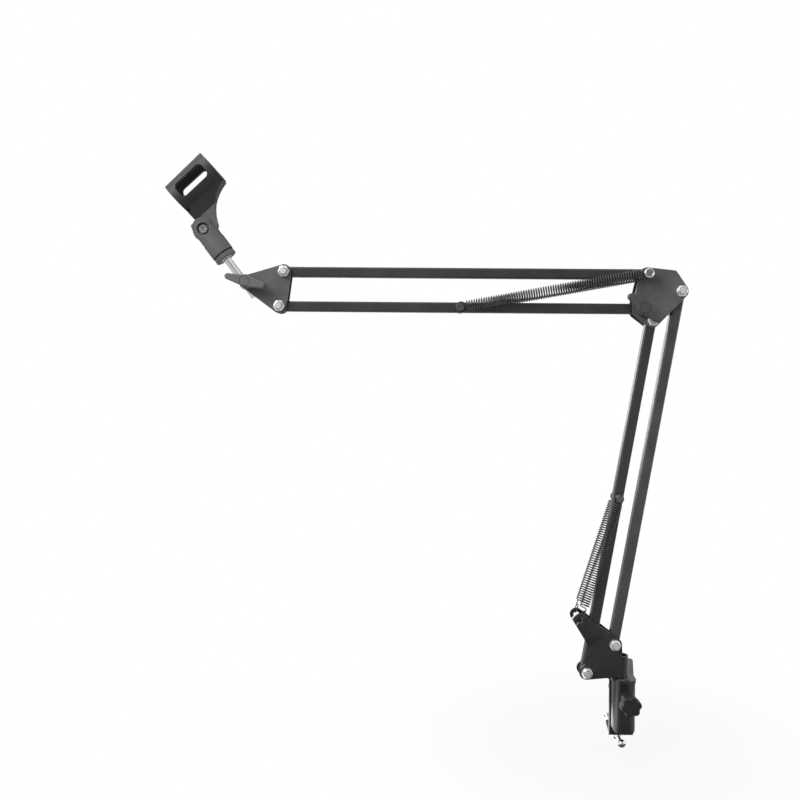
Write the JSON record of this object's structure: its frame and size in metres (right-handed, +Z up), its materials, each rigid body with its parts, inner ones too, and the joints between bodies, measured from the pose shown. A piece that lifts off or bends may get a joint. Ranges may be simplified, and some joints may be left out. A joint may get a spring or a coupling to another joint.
{
  "type": "microphone boom arm",
  "caption": "Spring-balanced desk boom arm: two parallelogram sections of square tube on a swivelling table clamp, with a tilting rod and a clip for a handheld microphone.",
  "frame": {"origin": "on the table side of the clamp's upper jaw, on the axis of the clamp screw", "axes": "+Z up, -Y towards the viewer of the picture, +X to the right; the arm lies in a plane of equal Y"},
  "size_m": [0.5062, 0.1093, 0.5891],
  "materials": {
    "black_paint": "satin black paint",
    "zinc": "bright zinc",
    "black_steel": "black oxide",
    "chrome": "polished chrome",
    "spring_steel": "black spring wire",
    "black_plastic": "moulded",
    "nylon": "plain nylon",
    "insert_metal": "nickel-plated brass",
    "pad_steel": "plated steel"
  },
  "bodies": {
    "clamp": {"clamp_frame": "black_paint", "clamp_screw_nut": "black_paint", "post_socket": "black_paint", "lock_boss": "black_paint"},
    "pressure_pad": {"pressure_pad": "pad_steel"},
    "clamp_screw": {"clamp_screw": "chrome"},
    "cross_bar": {"cross_bar": "chrome", "cross_bar_ends": "chrome"},
    "lock_knob": {"lock_knob": "black_plastic", "lock_screw": "zinc"},
    "base": {"base_bracket": "black_paint", "swivel_post": "zinc", "thrust_washer": "nylon", "base_bolts": "zinc", "base_nuts": "zinc", "base_washers": "nylon"},
    "lower_left": {"lower_left_tube": "black_paint", "lower_left_tube_plugs": "black_plastic", "lower_spring_peg": "zinc", "lower_spring_front": "spring_steel", "lower_spring_rear": "spring_steel"},
    "lower_right": {"lower_right_tube": "black_paint", "lower_right_tube_plugs": "black_plastic"},
    "elbow": {"elbow_plate_front": "black_paint", "elbow_plate_rear": "black_paint", "elbow_bolts": "zinc", "elbow_nuts": "zinc", "elbow_washers": "nylon", "elbow_spring_bolt": "black_steel", "elbow_clamp_bolt": "zinc"},
    "elbow_knob": {"elbow_wing_knob": "black_plastic", "elbow_wing_insert": "insert_metal"},
    "upper_lower": {"upper_lower_tube": "black_paint", "upper_lower_tube_plugs": "black_plastic", "upper_spring_peg": "zinc", "upper_spring_front": "spring_steel", "upper_spring_rear": "spring_steel"},
    "upper_top": {"upper_top_tube": "black_paint", "upper_top_tube_plugs": "black_plastic"},
    "head": {"head_plate_front": "black_paint", "head_plate_rear": "black_paint", "head_bolts": "zinc", "head_nuts": "zinc", "head_washers": "nylon"},
    "rod_clamp": {"rod_eye_bolt": "zinc"},
    "head_knob": {"head_wing_knob": "black_plastic", "head_wing_insert": "insert_metal"},
    "rod": {"mic_rod": "chrome"},
    "clip_base": {"clip_base": "black_plastic", "clip_thread_insert": "insert_metal", "clip_screw": "zinc", "clip_nut": "zinc"},
    "clip_sleeve": {"clip_sleeve": "black_plastic"}
  },
  "joints": [
    {"name": "base_swivel", "type": "hinge", "parent": "clamp", "child": "base", "pos_m": [-0.0025, -0.032, 0.006], "axis": [0, 0, 1], "continuous": true},
    {"name": "lower_arm_swing", "type": "hinge", "parent": "base", "child": "lower_left", "pos_m": [-0.0383, -0.032, 0.013], "axis": [0, -1, 0], "range_deg": [-16, 70], "deforming": ["lower_spring_front", "lower_spring_rear"]},
    {"name": "lower_link_swing", "type": "hinge", "parent": "base", "child": "lower_right", "pos_m": [-0.011, -0.032, 0.041], "axis": [0, -1, 0], "range_deg": [-16, 70]},
    {"name": "elbow_level", "type": "hinge", "parent": "lower_left", "child": "elbow", "pos_m": [0.02187, -0.032, 0.35779], "axis": [0, -1, 0], "range_deg": [-70, 16]},
    {"name": "upper_arm_swing", "type": "hinge", "parent": "elbow", "child": "upper_lower", "pos_m": [0.01128, -0.032, 0.36909], "axis": [0, -1, 0], "range_deg": [-70, 55], "deforming": ["upper_spring_front", "upper_spring_rear"]},
    {"name": "upper_link_swing", "type": "hinge", "parent": "elbow", "child": "upper_top", "pos_m": [0.01607, -0.032, 0.40239], "axis": [0, -1, 0], "range_deg": [-70, 55]},
    {"name": "head_level", "type": "hinge", "parent": "upper_lower", "child": "head", "pos_m": [-0.33871, -0.032, 0.37214], "axis": [0, -1, 0], "range_deg": [-55, 70]},
    {"name": "elbow_knob_turn", "type": "hinge", "parent": "elbow", "child": "elbow_knob", "pos_m": [0.01128, -0.048, 0.36909], "axis": [0, -1, 0], "continuous": true},
    {"name": "rod_tilt", "type": "hinge", "parent": "head", "child": "rod_clamp", "pos_m": [-0.36941, -0.032, 0.39524], "axis": [0, -1, 0], "range_deg": [-62, 140]},
    {"name": "head_knob_turn", "type": "hinge", "parent": "rod_clamp", "child": "head_knob", "pos_m": [-0.36941, -0.048, 0.39524], "axis": [0, -1, 0], "continuous": true},
    {"name": "rod_slide", "type": "slide", "parent": "rod_clamp", "child": "rod", "axis": [-0.599, 0, 0.8007], "range_m": [-0.01, 0.005]},
    {"name": "clip_spin", "type": "hinge", "parent": "rod", "child": "clip_base", "pos_m": [-0.41151, -0.032, 0.44617], "axis": [-0.599, 0, 0.8007], "continuous": true},
    {"name": "clip_tilt", "type": "hinge", "parent": "clip_base", "child": "clip_sleeve", "pos_m": [-0.41151, -0.032, 0.44617], "axis": [0, -1, 0], "range_deg": [-60, 75]},
    {"name": "lock_knob_turn", "type": "hinge", "parent": "clamp", "child": "lock_knob", "pos_m": [0, -0.05, -0.0115], "axis": [0, -1, 0], "continuous": true},
    {"name": "pad_travel", "type": "slide", "parent": "clamp", "child": "pressure_pad", "axis": [0, 0, -1], "range_m": [0, 0.021]},
    {"name": "clamp_screw_turn", "type": "hinge", "parent": "pressure_pad", "child": "clamp_screw", "pos_m": [0, 0, -0.05], "axis": [0, 0, -1], "range_deg": [0, 2520]},
    {"name": "cross_bar_slide", "type": "slide", "parent": "clamp_screw", "child": "cross_bar", "axis": [0, 1, 0], "range_m": [-0.03, 0.016]}
  ],
  "couplings": [
    {"joint": "lower_link_swing", "follows": "lower_arm_swing", "ratio": 1},
    {"joint": "elbow_level", "follows": "lower_arm_swing", "ratio": -1},
    {"joint": "upper_link_swing", "follows": "upper_arm_swing", "ratio": 1},
    {"joint": "head_level", "follows": "upper_arm_swing", "ratio": -1},
    {"joint": "pad_travel", "follows": "clamp_screw_turn", "m_per_rad": 0.00047746}
  ]
}
